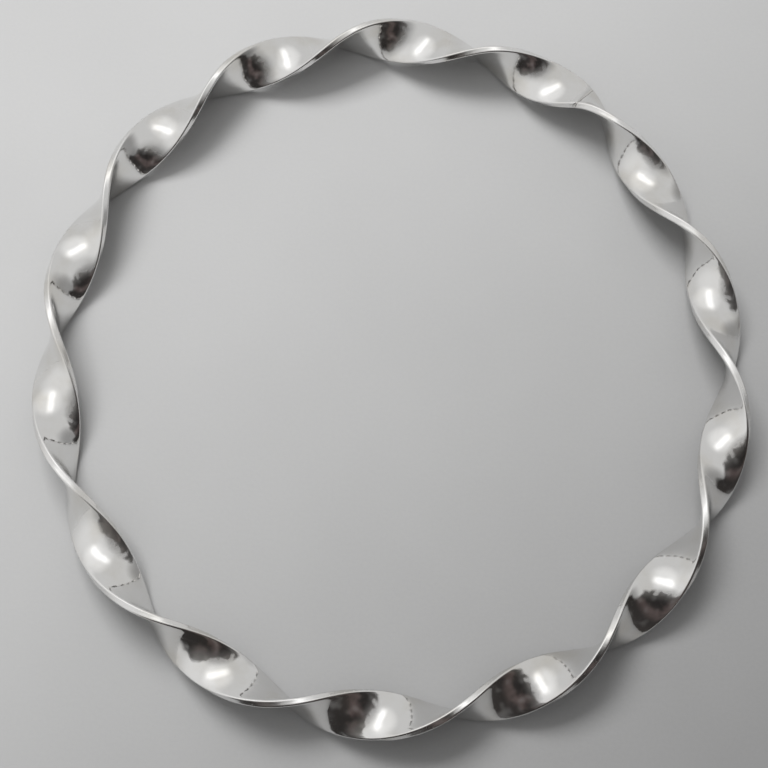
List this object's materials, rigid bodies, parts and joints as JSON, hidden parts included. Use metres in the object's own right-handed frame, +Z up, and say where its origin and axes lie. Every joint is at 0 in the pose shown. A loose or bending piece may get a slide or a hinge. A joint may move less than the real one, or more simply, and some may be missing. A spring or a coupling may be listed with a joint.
{
  "type": "bangle bracelet",
  "caption": "Closed bangle bent from one flat polished silver strip, twisted evenly all the way round and soldered end to end.",
  "frame": {"origin": "middle of the ring in plan, on the surface that the bangle lies on", "axes": "+Z up through the wrist opening; +Y along the ring's longer diameter; +X to the right seen with +Y ahead"},
  "size_m": [0.0702, 0.0734, 0.0045],
  "materials": {
    "silver": "polished sterling silver",
    "hard_solder": "hard silver solder, filed flush and polished"
  },
  "bodies": {
    "root": {"twisted_band": "silver", "solder_seam": "hard_solder"}
  },
  "joints": []
}
